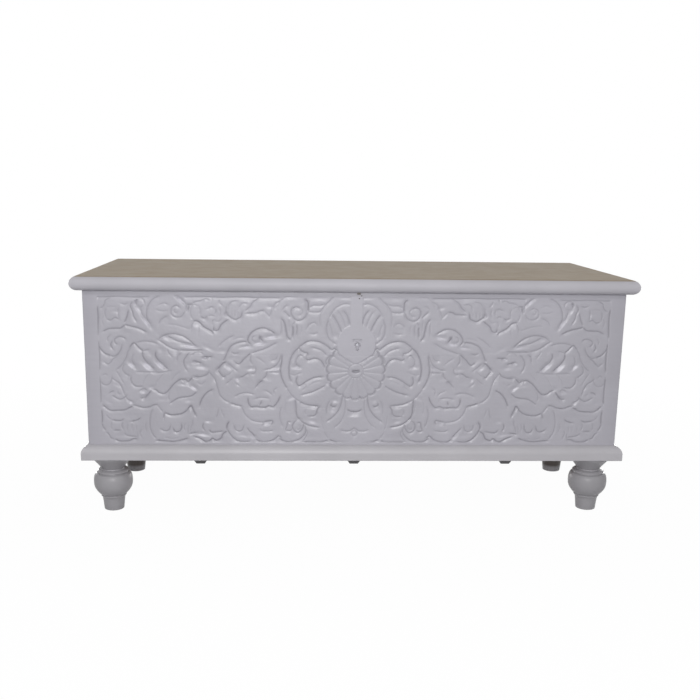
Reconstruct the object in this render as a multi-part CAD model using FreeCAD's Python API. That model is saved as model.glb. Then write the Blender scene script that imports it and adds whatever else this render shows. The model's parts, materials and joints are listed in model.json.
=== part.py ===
import FreeCAD, Part
import math
import os

Vector = FreeCAD.Vector

# The trunk stands on the floor at z = 0, its width along X, its front towards -Y and its middle at
# x = 0, y = 0. All sizes are in millimetres.

# Lid
lid_width = 1100.0
lid_depth = 430.0
lid_thickness = 28.0
lid_nose_reach = 12.0
lid_gap = 1.0
lid_front_overhang = 24.0
lid_back_overhang = 20.0
lid_end_overhang = 19.0

# Carcass boards
carcass_height = 338.0
front_thickness = 22.0
end_thickness = 18.0
back_thickness = 18.0
rebate_depth = 8.0
bottom_thickness = 12.0
front_lower_plank_height = 106.0
lock_joint_clearance = 10.5

# Carved field of the front
field_side_margin = 27.0
field_top_margin = 8.0
field_bottom_margin = 3.5
relief_depth = 5.0
lock_disc_radius = 38.0
lock_disc_drop = 101.8
lock_neck_width = 24.0

# Main forms of the carving: a rosette of petals and four ring bands
rosette_drop = 156.8
rosette_radius = 57.0
rosette_petal_count = 19
rosette_petal_rise = 1.3
ring_centre_reach = 79.0
ring_radius = 63.0
ring_band_width = 14.0

# Base moulding
moulding_height = 30.0
moulding_reach = 13.6
moulding_face_height = 11.0
moulding_edge_round = 1.5

# Turned feet
foot_height = 116.0
foot_side_inset = 38.5
foot_front_inset = 36.0
foot_rear_inset = 90.0
foot_sole_radius = 20.0
foot_ankle_radius = 22.5
foot_ankle_height = 26.0
foot_ball_radius = 39.0
foot_ball_height = 60.0
foot_ball_low_share = 0.56
foot_ball_high_share = 0.45
foot_neck_radius = 23.5
foot_neck_height = 89.5
foot_cap_radius = 42.0
foot_cap_height = 106.5
foot_tenon_radius = 12.0
foot_tenon_length = 30.0

# Blocks that take the tenons of the feet
block_side = 60.0
block_height = 24.0
tenon_end_clearance = 1.0

# Battens under the floor
base_batten_width = 27.0
base_batten_thickness = 14.0
base_batten_chamfer_width = 5.0
base_batten_chamfer_height = 9.0
base_batten_end_inset = 7.0
base_batten_spacing = 311.0

# Battens under the lid
lid_batten_width = 45.0
lid_batten_thickness = 18.0
lid_batten_wall_clearance = 20.0
lid_batten_spacing = 620.0
lid_batten_chamfer = 5.0

# Butt hinges
hinge_spacing = 660.0
hinge_length = 76.0
hinge_leaf_width = 16.0
hinge_leaf_thickness = 2.0
knuckle_radius = 4.0
knuckle_count = 3
knuckle_gap = 0.4
knuckle_clearance = 0.5
pin_radius = 2.0
pin_clearance = 0.05

# Lock, slot for the staple of the hasp, and keyhole
lock_centre_x = 2.0
slot_drop = 94.3
slot_width = 18.0
slot_height = 4.5
keyhole_drop = 104.5
keyhole_radius = 6.0
key_slit_width = 5.0
key_slit_drop = 10.5
lock_plate_width = 124.0
lock_plate_height = 60.0
lock_plate_thickness = 1.5
lock_case_width = 104.0
lock_case_height = 50.0
lock_case_depth = 14.0
lock_case_wall = 1.2
bolt_length = 36.0
bolt_height = 7.0
bolt_thickness = 5.0
bolt_slot_clearance = 2.0
bolt_throw = 24.0
bolt_clearance = 0.3
bolt_plate_gap = 3.0
guide_length = 5.0
guide_wall = 2.0
spring_thickness = 0.8
spring_width = 4.0
spring_bend_x_share = 0.6
spring_bend_z_share = 0.3
key_post_radius = 2.5
key_post_setback = 5.0

# Lug of the hasp
lug_centre_x = 3.2
lug_width = 6.4
lug_thickness = 3.0
lug_drop = 5.0
lug_face_clearance = 1.2
lug_foot_width = 14.0
lug_foot_length = 12.0
lug_foot_thickness = 1.5

# Every cut runs this far past the piece
overrun = 5.0

# Places worked out from the sizes above
front_y = -lid_depth / 2 + lid_front_overhang
back_y = lid_depth / 2 - lid_back_overhang
front_inner_y = front_y + front_thickness
back_inner_y = back_y - back_thickness
side_x = lid_width / 2 - lid_end_overhang
side_inner_x = side_x - end_thickness
floor_z = foot_height
floor_top_z = floor_z + bottom_thickness
carcass_top_z = floor_z + carcass_height
lid_bottom_z = carcass_top_z + lid_gap
lid_top_z = lid_bottom_z + lid_thickness
hinge_y = back_y + knuckle_radius + knuckle_clearance
hinge_z = carcass_top_z + lid_gap / 2
field_x = side_x - field_side_margin
field_low_z = floor_z + moulding_height + field_bottom_margin
field_top_z = carcass_top_z - field_top_margin
lock_disc_z = carcass_top_z - lock_disc_drop
slot_z = carcass_top_z - slot_drop
keyhole_z = carcass_top_z - keyhole_drop
rosette_z = carcass_top_z - rosette_drop
foot_x = side_x - foot_side_inset
foot_front_y = front_y + foot_front_inset
foot_rear_y = back_y - foot_rear_inset

SIDES = (("left", -1), ("right", 1))


def block(x0, x1, y0, y1, z0, z1):
    """A box between two corners."""
    return Part.makeBox(x1 - x0, y1 - y0, z1 - z0, Vector(x0, y0, z0))


def rod(radius, start, direction, length):
    """A round bar from its start point along a direction."""
    return Part.makeCylinder(radius, length, start, direction)


def prism(edges, travel):
    """A solid made by moving a closed outline along a vector."""
    return Part.Face(Part.Wire(edges)).extrude(travel)


def lines(points):
    """The straight edges that join points, one to the next."""
    return [Part.makeLine(a, b) for a, b in zip(points, points[1:])]


def polygon_prism(points, travel):
    """A prism on a closed outline of straight edges."""
    return prism(lines(points + points[:1]), travel)


def batten(x, y0, y1, top_z, width, thickness, chamfer_width, chamfer_height):
    """A bar from front to back under a board, sloped along its lower edges and at its ends."""
    low_z, slope_z = top_z - thickness, top_z - thickness + chamfer_height
    x0, x1 = x - width / 2, x + width / 2
    section = [Vector(x0, y0, top_z), Vector(x0, y0, slope_z), Vector(x0 + chamfer_width, y0, low_z),
               Vector(x1 - chamfer_width, y0, low_z), Vector(x1, y0, slope_z), Vector(x1, y0, top_z)]
    profile = [Vector(x0, y0, top_z), Vector(x0, y0, slope_z), Vector(x0, y0 + chamfer_width, low_z),
               Vector(x0, y1 - chamfer_width, low_z), Vector(x0, y1, slope_z), Vector(x0, y1, top_z)]
    bar = polygon_prism(section, Vector(0, y1 - y0, 0))
    return bar.common(polygon_prism(profile, Vector(width, 0, 0)))


# Lid

def lid_blank():
    """The whole lid as one board, with its bullnose along the front and both ends."""
    middle_z = lid_bottom_z + lid_thickness / 2
    front, back = -lid_depth / 2, lid_depth / 2
    left, right = -lid_width / 2, lid_width / 2
    left_nose, right_nose = left + lid_nose_reach, right - lid_nose_reach
    front_nose = front + lid_nose_reach
    top_corner, low_corner = Vector(left, front_nose, lid_top_z), Vector(left, front_nose, lid_bottom_z)
    back_edge = [Vector(left, back, lid_bottom_z), Vector(left, back, lid_top_z)]
    lengthwise = [Part.Arc(top_corner, Vector(left, front, middle_z), low_corner).toShape()]
    lengthwise += lines([low_corner] + back_edge + [top_corner])
    low_left, top_left = Vector(left_nose, front, lid_bottom_z), Vector(left_nose, front, lid_top_z)
    low_right, top_right = Vector(right_nose, front, lid_bottom_z), Vector(right_nose, front, lid_top_z)
    crosswise = [Part.Arc(top_left, Vector(left, front, middle_z), low_left).toShape(),
                 Part.makeLine(low_left, low_right),
                 Part.Arc(low_right, Vector(right, front, middle_z), top_right).toShape(),
                 Part.makeLine(top_right, top_left)]
    return prism(lengthwise, Vector(lid_width, 0, 0)).common(prism(crosswise, Vector(0, lid_depth, 0)))


def hinge_recesses():
    """The room in the lid for the hinge leaves and for the knuckles under its rear overhang."""
    housing_x = hinge_length / 2 + knuckle_clearance
    housing_reach = knuckle_radius + knuckle_clearance
    cuts = []
    for _, side in SIDES:
        x = side * hinge_spacing / 2
        cuts.append(block(x - hinge_length / 2, x + hinge_length / 2, back_y - hinge_leaf_width, back_y,
                          lid_bottom_z - overrun, lid_bottom_z + hinge_leaf_thickness))
        cuts.append(block(x - housing_x, x + housing_x, back_y, hinge_y + housing_reach,
                          lid_bottom_z - overrun, hinge_z + housing_reach))
    return cuts


def lug_foot():
    """The foot of the hasp's lug, let into the underside of the lid."""
    y1 = front_y - lug_face_clearance
    return block(lug_centre_x - lug_foot_width / 2, lug_centre_x + lug_foot_width / 2, y1 - lug_thickness,
                 y1 - lug_thickness + lug_foot_length, lid_bottom_z, lid_bottom_z + lug_foot_thickness)


def lid_planks():
    """The three planks of the lid, front to back."""
    blank = lid_blank().cut(Part.makeCompound(hinge_recesses() + [lug_foot()]))
    plank_depth = lid_depth / 3
    planks = {}
    for number, name in enumerate(("front", "middle", "back")):
        y0 = -lid_depth / 2 + number * plank_depth
        room = block(-lid_width / 2 - overrun, lid_width / 2 + overrun, y0, y0 + plank_depth,
                     lid_bottom_z - overrun, lid_top_z + overrun)
        planks["lid_plank_" + name] = blank.common(room)
    return planks


def lid_batten(side):
    """A cross batten under the lid, clear of the front and the back."""
    y0 = front_inner_y + lid_batten_wall_clearance
    y1 = back_inner_y - lid_batten_wall_clearance
    return batten(side * lid_batten_spacing / 2, y0, y1, lid_bottom_z, lid_batten_width, lid_batten_thickness,
                  lid_batten_chamfer, lid_batten_chamfer)


def hasp_lug():
    """The lug that is left of the hasp: a foot in the lid and a tongue before the front."""
    y1 = front_y - lug_face_clearance
    tongue = block(lug_centre_x - lug_width / 2, lug_centre_x + lug_width / 2, y1 - lug_thickness, y1,
                   lid_bottom_z - lug_drop, lid_bottom_z)
    return tongue.fuse(lug_foot()).removeSplitter()


# Carcass

def end_rebates(y0, y1):
    """The cuts at both ends of a front or back board that take the end boards, between two depths."""
    return [block(x0, x1, y0, y1, floor_z - overrun, carcass_top_z + overrun)
            for x0, x1 in ((-side_x - overrun, -side_inner_x), (side_inner_x, side_x + overrun))]


def lock_disc():
    """The plain raised disc round the lock, with its neck up to the border of the carved field."""
    disc = rod(lock_disc_radius, Vector(0, front_y, lock_disc_z), Vector(0, 1, 0), relief_depth)
    neck = block(-lock_neck_width / 2, lock_neck_width / 2, front_y, front_y + relief_depth, lock_disc_z,
                 field_top_z)
    return disc.fuse(neck)


def ring_bands():
    """The four round bands beside, over and under the rosette, each as a raised ring."""
    bands = []
    depth = Vector(0, 1, 0)
    for across, up in ((-1, 0), (1, 0), (0, -1), (0, 1)):
        middle = Vector(across * ring_centre_reach, front_y, rosette_z + up * ring_centre_reach)
        outer = rod(ring_radius + ring_band_width / 2, middle, depth, relief_depth)
        bands.append(outer.cut(rod(ring_radius - ring_band_width / 2, middle, depth, relief_depth)))
    return bands


def rosette():
    """The raised rosette, with one shallow arc for the tip of each petal."""
    def at(radius, turn):
        return Vector(radius * math.sin(turn), front_y, rosette_z - radius * math.cos(turn))

    pitch = 2 * math.pi / rosette_petal_count
    valley_radius = rosette_radius - rosette_petal_rise
    tips = []
    for number in range(rosette_petal_count):
        turn = number * pitch
        tips.append(Part.Arc(at(valley_radius, turn - pitch / 2), at(rosette_radius, turn),
                             at(valley_radius, turn + pitch / 2)).toShape())
    return prism(tips, Vector(0, relief_depth, 0))


def medallion():
    """The rings, the rosette laid over them and the lock's disc laid over both, up to the field's edges."""
    raised = rosette().fuse(ring_bands() + [lock_disc()])
    field = block(-field_x, field_x, front_y, front_y + relief_depth, field_low_z, field_top_z)
    return raised.common(field)


def front_blank():
    """The front as one board, with its carved field sunk to the ground of the carving."""
    board = block(-side_x, side_x, front_y, front_inner_y, floor_z, carcass_top_z)
    pocket = block(-field_x, field_x, front_y - overrun, front_y + relief_depth, field_low_z, field_top_z)
    rebates = end_rebates(front_inner_y - rebate_depth, front_inner_y + overrun)
    return board.cut(Part.makeCompound([pocket] + rebates)).fuse(medallion()).removeSplitter()


def hasp_slot(y0, y1):
    """The slot for the staple of the hasp, from one depth to another."""
    return block(lock_centre_x - slot_width / 2, lock_centre_x + slot_width / 2, y0, y1,
                 slot_z - slot_height / 2, slot_z + slot_height / 2)


def keyhole(y0, y1):
    """The keyhole: a round hole with a slit below it."""
    hole = rod(keyhole_radius, Vector(lock_centre_x, y0, keyhole_z), Vector(0, 1, 0), y1 - y0)
    slit = block(lock_centre_x - key_slit_width / 2, lock_centre_x + key_slit_width / 2, y0, y1,
                 keyhole_z - key_slit_drop, keyhole_z)
    return hole.fuse(slit)


def front_planks():
    """The three planks of the carved front, bottom to top."""
    blank = front_blank()
    blank = blank.cut(Part.makeCompound([hasp_slot(front_y - overrun, front_inner_y + overrun),
                                         keyhole(front_y - overrun, front_inner_y + overrun)]))
    upper_joint_z = keyhole_z - key_slit_drop - lock_joint_clearance
    levels = [floor_z, floor_z + front_lower_plank_height, upper_joint_z, carcass_top_z]
    planks = {}
    for name, z0, z1 in zip(("lower", "middle", "upper"), levels, levels[1:]):
        room = block(-side_x - overrun, side_x + overrun, front_y - overrun, front_inner_y + overrun, z0, z1)
        planks["front_plank_" + name] = blank.common(room)
    return planks


def halves(low, high):
    """The lower and the upper half of a height, with their names."""
    middle = (low + high) / 2
    return (("lower", low, middle), ("upper", middle, high))


def end_planks():
    """The planks of both ends, which sit in the rebates of the front and the back."""
    planks = {}
    for side_name, side in SIDES:
        x0, x1 = sorted((side * side_x, side * side_inner_x))
        for level_name, z0, z1 in halves(floor_z, carcass_top_z):
            planks["end_plank_" + side_name + "_" + level_name] = block(
                x0, x1, front_inner_y - rebate_depth, back_inner_y + rebate_depth, z0, z1)
    return planks


def back_planks():
    """The two planks of the back, rebated for the ends, with the upper one let in for the hinges."""
    leaf_cuts = [hinge_plate(side, carcass_top_z - hinge_leaf_thickness, overrun) for _, side in SIDES]
    rebates = end_rebates(back_inner_y - overrun, back_inner_y + rebate_depth)
    planks = {}
    for level_name, z0, z1 in halves(floor_z, carcass_top_z):
        board = block(-side_x, side_x, back_inner_y, back_y, z0, z1)
        planks["back_plank_" + level_name] = board.cut(Part.makeCompound(rebates + leaf_cuts))
    return planks


def foot_places():
    """The end and the place of each foot."""
    for end_name, y in (("front", foot_front_y), ("rear", foot_rear_y)):
        for _, side in SIDES:
            yield end_name, side * foot_x, y


def tenon_holes(z0, z1):
    """The holes for the tenons of the feet, from one height to another."""
    return [rod(foot_tenon_radius, Vector(x, y, z0), Vector(0, 0, 1), z1 - z0)
            for _, x, y in foot_places()]


def bottom_boards():
    """The three boards of the floor, front to back."""
    holes = Part.makeCompound(tenon_holes(floor_z - overrun, floor_top_z + overrun))
    depth = (back_inner_y - front_inner_y) / 3
    boards = {}
    for number, name in enumerate(("front", "middle", "back")):
        y0 = front_inner_y + number * depth
        board = block(-side_inner_x, side_inner_x, y0, y0 + depth, floor_z, floor_top_z)
        boards["bottom_board_" + name] = board.cut(holes)
    return boards


def foot_block(x, y):
    """A block in a corner of the box that takes the tenon of a foot."""
    side = math.copysign(1, x)
    x0, x1 = sorted((side * side_inner_x, side * (side_inner_x - block_side)))
    y0 = max(front_inner_y, y - block_side / 2)
    hole_top = floor_z + foot_tenon_length + tenon_end_clearance
    solid = block(x0, x1, y0, y0 + block_side, floor_top_z, floor_top_z + block_height)
    return solid.cut(Part.makeCompound(tenon_holes(floor_z, hole_top)))


# Base moulding

def moulding_section(place):
    """The outline of the base moulding. A point stands out by its reach and up by its height."""
    base, face, top = floor_z, floor_z + moulding_face_height, floor_z + moulding_height
    ease = moulding_edge_round
    shoulder = math.sqrt(0.5)
    arch = Part.Arc(place(moulding_reach, face),
                    place(moulding_reach * shoulder, face + (top - face) * shoulder),
                    place(0, top)).toShape()
    low_round = Part.Arc(place(moulding_reach - ease, base),
                         place(moulding_reach - ease + ease * shoulder, base + ease - ease * shoulder),
                         place(moulding_reach, base + ease)).toShape()
    return [Part.makeLine(place(0, base), place(moulding_reach - ease, base)), low_round,
            Part.makeLine(place(moulding_reach, base + ease), place(moulding_reach, face)), arch,
            Part.makeLine(place(0, top), place(0, base))]


def base_mouldings():
    """The front and side mouldings, mitred where they meet."""
    outer_x = side_x + moulding_reach
    front_section = moulding_section(lambda out, z: Vector(-outer_x, front_y - out, z))
    front = prism(front_section, Vector(2 * outer_x, 0, 0))
    pieces = {}
    for side_name, side in SIDES:
        corner = Vector(side * side_x, front_y, floor_z - overrun)
        tip = Vector(side * outer_x, front_y - moulding_reach, floor_z - overrun)
        rise = Vector(0, 0, moulding_height + 2 * overrun)
        beyond = Vector(side * outer_x, front_y, floor_z - overrun)
        before = Vector(side * side_x, front_y - moulding_reach, floor_z - overrun)
        front = front.cut(polygon_prism([corner, beyond, tip], rise))
        section = moulding_section(lambda out, z: Vector(side * (side_x + out), front_y - moulding_reach, z))
        length = back_y - front_y + moulding_reach
        run = prism(section, Vector(0, length, 0))
        pieces["base_moulding_" + side_name] = run.cut(polygon_prism([corner, tip, before], rise))
    pieces["base_moulding_front"] = front
    return pieces


# Underside

def base_batten(x):
    """A cross batten under the floor, narrowed below and sloped at its ends."""
    y0, y1 = front_y + base_batten_end_inset, back_y - base_batten_end_inset
    return batten(x, y0, y1, floor_z, base_batten_width, base_batten_thickness, base_batten_chamfer_width,
                  base_batten_chamfer_height)


def foot(x, y):
    """A turned foot: a tapered ankle, a ball, a neck and a flared cap, with a round tenon on top."""
    def at(radius, z):
        return Vector(radius, 0, z)

    def on_ball(rise):
        return at(math.sqrt(foot_ball_radius ** 2 - rise ** 2), foot_ball_height + rise)

    ball_low = on_ball(-foot_ball_radius * foot_ball_low_share)
    ball_high = on_ball(foot_ball_radius * foot_ball_high_share)
    outline = lines([at(0, 0), at(foot_sole_radius, 0), at(foot_ankle_radius, foot_ankle_height), ball_low])
    outline += [Part.Arc(ball_low, on_ball(0), ball_high).toShape()]
    tenon_top = foot_height + foot_tenon_length
    outline += lines([ball_high, at(foot_neck_radius, foot_neck_height), at(foot_cap_radius, foot_cap_height),
                      at(foot_cap_radius, foot_height), at(foot_tenon_radius, foot_height),
                      at(foot_tenon_radius, tenon_top), at(0, tenon_top), at(0, 0)])
    solid = Part.Face(Part.Wire(outline)).revolve(Vector(0, 0, 0), Vector(0, 0, 1), 360)
    solid.translate(Vector(x, y, 0))
    return solid


def pairs(start, make):
    """The pieces at the front and at the rear feet, each pair as one node."""
    found = {}
    for end_name, x, y in foot_places():
        found.setdefault(start + end_name, []).append(make(x, y))
    return {name: Part.makeCompound(solids) for name, solids in found.items()}


# Hinges

def hinge_plate(side, z0, extra=0.0):
    """The flat part of a hinge leaf, on the top edge of the back or under the lid."""
    x = side * hinge_spacing / 2
    return block(x - hinge_length / 2, x + hinge_length / 2, back_y - hinge_leaf_width, back_y + extra,
                 z0, z0 + hinge_leaf_thickness + extra)


def hinge_leaf(side, z0, first):
    """A hinge leaf with every second knuckle, from the first or the second one on."""
    pitch = hinge_length / knuckle_count
    start = side * hinge_spacing / 2 - hinge_length / 2
    leaf = hinge_plate(side, z0)
    for number in range(first, knuckle_count, 2):
        x0 = start + number * pitch + knuckle_gap / 2
        length = pitch - knuckle_gap
        leaf = leaf.fuse(block(x0, x0 + length, back_y, hinge_y, z0, z0 + hinge_leaf_thickness))
        leaf = leaf.fuse(rod(knuckle_radius, Vector(x0, hinge_y, hinge_z), Vector(1, 0, 0), length))
    bore = rod(pin_radius + pin_clearance, Vector(start - overrun, hinge_y, hinge_z), Vector(1, 0, 0),
               hinge_length + 2 * overrun)
    return leaf.cut(bore).removeSplitter()


def hinge_leaves(z0, first):
    """The leaves of both hinges on the back or on the lid, as one node."""
    return Part.makeCompound([hinge_leaf(side, z0, first) for _, side in SIDES])


def hinge_pin(side):
    """A plain hinge pin, as long as the row of knuckles."""
    x0 = side * hinge_spacing / 2 - hinge_length / 2 + knuckle_gap / 2
    return rod(pin_radius, Vector(x0, hinge_y, hinge_z), Vector(1, 0, 0), hinge_length - knuckle_gap)


# Lock

lock_plate_y = front_inner_y + lock_plate_thickness
case_back_y = lock_plate_y + lock_case_depth
bolt_y = lock_plate_y + bolt_plate_gap
lock_z = (slot_z + keyhole_z) / 2
bolt_tip_x = lock_centre_x + slot_width / 2 + bolt_slot_clearance


def lock_plate():
    """The plate between the front and the lock, pierced by the slot and the keyhole."""
    plate = block(lock_centre_x - lock_plate_width / 2, lock_centre_x + lock_plate_width / 2, front_inner_y,
                  lock_plate_y, lock_z - lock_plate_height / 2, lock_z + lock_plate_height / 2)
    y0, y1 = front_inner_y - overrun, lock_plate_y + overrun
    return plate.cut(Part.makeCompound([hasp_slot(y0, y1), keyhole(y0, y1)]))


def lock_case():
    """The tray over the works, open towards the plate."""
    half_w, half_h, wall = lock_case_width / 2, lock_case_height / 2, lock_case_wall
    outer = block(lock_centre_x - half_w, lock_centre_x + half_w, lock_plate_y, case_back_y,
                  lock_z - half_h, lock_z + half_h)
    inner = block(lock_centre_x - half_w + wall, lock_centre_x + half_w - wall, lock_plate_y - overrun,
                  case_back_y - wall, lock_z - half_h + wall, lock_z + half_h - wall)
    return outer.cut(inner)


def lock_bolt():
    """The sliding bolt, drawn back beside the slot."""
    return block(bolt_tip_x, bolt_tip_x + bolt_length, bolt_y, bolt_y + bolt_thickness,
                 slot_z - bolt_height / 2, slot_z + bolt_height / 2)


def lock_guides():
    """The two guides on the back of the case that the bolt slides in."""
    inner_back = case_back_y - lock_case_wall
    window = block(bolt_tip_x - lock_case_width, bolt_tip_x + lock_case_width, bolt_y - bolt_clearance,
                   bolt_y + bolt_thickness + bolt_clearance, slot_z - bolt_height / 2 - bolt_clearance,
                   slot_z + bolt_height / 2 + bolt_clearance)
    wall = bolt_clearance + guide_wall
    keeper_x = bolt_tip_x - bolt_throw - guide_length / 2
    carrier_x = bolt_tip_x - bolt_throw + bolt_length - 1.5 * guide_length
    guides = []
    for x0 in (keeper_x, carrier_x):
        solid = block(x0, x0 + guide_length, bolt_y - wall, inner_back, slot_z - bolt_height / 2 - wall,
                      slot_z + bolt_height / 2 + wall)
        guides.append(solid.cut(window))
    return Part.makeCompound(guides)


def lock_spring():
    """The bent flat spring from the top of the case down to the bolt."""
    top_z = lock_z + lock_case_height / 2 - lock_case_wall - spring_thickness
    low_z = slot_z + bolt_height / 2 + bolt_clearance
    x0 = bolt_tip_x + 2 * guide_length + guide_wall
    x1 = lock_centre_x + lock_case_width / 2 - lock_case_wall
    y = bolt_y + (bolt_thickness - spring_width) / 2
    bend_x = x0 + (x1 - x0) * spring_bend_x_share
    bend_z = low_z + (top_z - low_z) * spring_bend_z_share
    path = [Vector(x0, y, low_z), Vector(bend_x, y, bend_z), Vector(x1, y, top_z)]
    lift = Vector(0, 0, spring_thickness)
    lower = Part.Arc(*path).toShape()
    upper = Part.Arc(*[point + lift for point in reversed(path)]).toShape()
    section = [lower, Part.makeLine(path[2], path[2] + lift), upper, Part.makeLine(path[0] + lift, path[0])]
    return prism(section, Vector(0, spring_width, 0))


def lock_key_post():
    """The pin that the key turns on, from the back of the case into the keyhole."""
    y0 = front_y + key_post_setback
    return rod(key_post_radius, Vector(lock_centre_x, y0, keyhole_z), Vector(0, 1, 0),
               case_back_y - lock_case_wall - y0)


def trunk():
    """Every piece of the trunk by its name."""
    pieces = {}
    pieces.update(lid_planks())
    pieces.update(front_planks())
    pieces.update(end_planks())
    pieces.update(back_planks())
    pieces.update(bottom_boards())
    pieces.update(base_mouldings())
    for name, x in (("left", -base_batten_spacing), ("middle", 0), ("right", base_batten_spacing)):
        pieces["base_batten_" + name] = base_batten(x)
    pieces.update(pairs("foot_blocks_", foot_block))
    pieces.update(pairs("feet_", foot))
    for side_name, side in SIDES:
        pieces["lid_batten_" + side_name] = lid_batten(side)
        pieces["hinge_pin_" + side_name] = hinge_pin(side)
    pieces["back_leaves"] = hinge_leaves(carcass_top_z - hinge_leaf_thickness, 0)
    pieces["lid_leaves"] = hinge_leaves(lid_bottom_z, 1)
    pieces["hasp_lug"] = hasp_lug()
    pieces["lock_plate"] = lock_plate()
    pieces["lock_case"] = lock_case()
    pieces["lock_bolt"] = lock_bolt()
    pieces["lock_guides"] = lock_guides()
    pieces["lock_spring"] = lock_spring()
    pieces["lock_key_post"] = lock_key_post()
    return pieces


os.makedirs("parts", exist_ok=True)
for name, shape in trunk().items():
    if not shape.isValid() or shape.Volume <= 0:
        raise RuntimeError(name + " is not a closed solid")
    shape.exportStep("parts/" + name + ".step")
    print(name, len(shape.Solids), round(shape.Volume), len(shape.tessellate(0.2)[1]))
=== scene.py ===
import bpy
import json
import math
import numpy as np
from mathutils import Matrix, Vector

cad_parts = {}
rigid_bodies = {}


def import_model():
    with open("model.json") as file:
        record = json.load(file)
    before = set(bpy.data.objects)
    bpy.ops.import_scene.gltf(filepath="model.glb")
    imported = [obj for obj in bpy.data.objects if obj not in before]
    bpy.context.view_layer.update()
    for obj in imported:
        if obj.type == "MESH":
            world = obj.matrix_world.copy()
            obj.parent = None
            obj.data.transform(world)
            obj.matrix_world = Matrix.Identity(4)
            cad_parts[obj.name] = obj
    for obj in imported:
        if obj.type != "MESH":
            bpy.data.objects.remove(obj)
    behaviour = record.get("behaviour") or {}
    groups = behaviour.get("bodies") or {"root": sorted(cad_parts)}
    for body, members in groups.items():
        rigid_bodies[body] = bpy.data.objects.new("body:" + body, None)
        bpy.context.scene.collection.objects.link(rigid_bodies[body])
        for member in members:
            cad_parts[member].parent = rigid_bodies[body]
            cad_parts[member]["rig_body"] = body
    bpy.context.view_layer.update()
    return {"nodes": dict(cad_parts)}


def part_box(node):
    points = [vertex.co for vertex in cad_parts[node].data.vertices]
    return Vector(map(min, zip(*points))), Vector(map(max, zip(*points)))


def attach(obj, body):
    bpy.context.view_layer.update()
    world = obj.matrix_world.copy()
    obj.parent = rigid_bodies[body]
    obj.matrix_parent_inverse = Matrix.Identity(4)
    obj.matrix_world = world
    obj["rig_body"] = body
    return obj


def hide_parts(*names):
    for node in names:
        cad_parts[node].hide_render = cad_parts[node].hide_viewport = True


bl_info = {
    "name": "Carved Trunk",
    "version": (1, 0, 0),
    "blender": (4, 5, 0),
    "location": "View3D > Sidebar > Trunk",
    "description": "Builds a painted, carved trunk on turned feet, with its lock, its hinges and a pale stage",
    "category": "Add Mesh",
}

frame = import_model()

# The grid that the carving is drawn on: half its width, and its low and high edges.
DRAWING_HALF = 504.0
DRAWING_LOW = 165.3
DRAWING_HIGH = 461.8

# Each line is a cut that both halves of the front have: its depth in hundredths and the points of its path.
LOBE_CUTS = """
45 44,462 52,452 60,445 66,437 71,431 84,430 95,432
45 60,446 72,443 84,443 93,438
40 12,447 25,447 38,441 47,431 53,420
60 53,418 57,403 57,392 53,379 45,372 38,368
35 62,444 69,431 71,416 70,402
70 25,434 18,425 14,415 12,404
70 48,426 40,415 33,402 28,389
35 36,433 28,421 22,406 19,397
40 53,408 49,397 46,386 41,378
80 30,343 36,352 42,358 48,353
85 46,354 55,362 66,369 80,373 95,372 105,366 112,360
85 109,361 119,353 127,340 131,325 132,312 130,299 126,290
80 145,346 146,331 148,318 147,305 142,290 134,276
50 135,277 128,266 117,255 106,249
85 110,251 100,246 85,243 70,242
80 112,363 109,355 102,350 95,348 96,341
85 98,339 93,335 80,338 70,335 63,327 60,318
60 57,343 65,352 75,357 88,360
55 103,340 108,345 115,340 118,332 115,323 108,320
40 105,311 120,305 130,308
80 62,302 80,300 95,293 105,286 112,283 117,291 115,303
75 58,284 70,277 85,270 107,264
35 104,290 98,283 106,274
25 66,294 80,291 92,284
60 40,339 48,344 56,338 58,330 53,325
"""
VOLUTE_CUTS = """
85 101,456 95,450 94,440 95,430
70 95,432 99,421 107,415 116,414 123,419 127,428 125,436 118,440 109,438
35 109,438 105,431 109,424 116,424
30 126,462 140,458 150,450 157,438
60 128,420 134,425 143,434
40 132,443 139,441 145,433
45 118,414 122,408 125,402
35 108,404 107,396 108,388
60 117,406 116,395 118,382
80 125,403 124,392 125,379
80 147,419 140,408 137,394 134,381 128,375
45 147,414 146,400 147,384
30 132,415 131,402 131,390
40 75,391 80,388 92,388
35 76,404 83,409 92,405 96,397
85 118,257 117,240 116,226 112,217 104,209 96,204 84,200 70,198
80 70,243 75,234 77,226 83,221 96,221
45 97,236 99,229 96,222
45 121,256 121,240 119,225
35 137,252 139,237 137,224
50 146,240 149,224 147,209 142,197
70 101,207 104,195 111,187 119,189 124,198 121,207 113,213
45 109,204 108,197 113,193 117,198
60 126,208 133,208 135,200 137,192 130,190 125,194
65 100,203 98,189 103,179 113,171 125,168
85 118,169 130,167 142,169 152,176
50 97,194 94,185 98,175 104,168
80 53,170 65,167 80,167 104,167
40 60,189 56,181 50,173
75 24,263 26,250 30,236 36,226 45,217 56,209
50 50,254 55,241 56,224
80 36,243 41,240 47,243 46,249
45 20,262 19,238 22,221 29,208 41,196
30 60,190 64,205 66,222
"""
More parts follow.
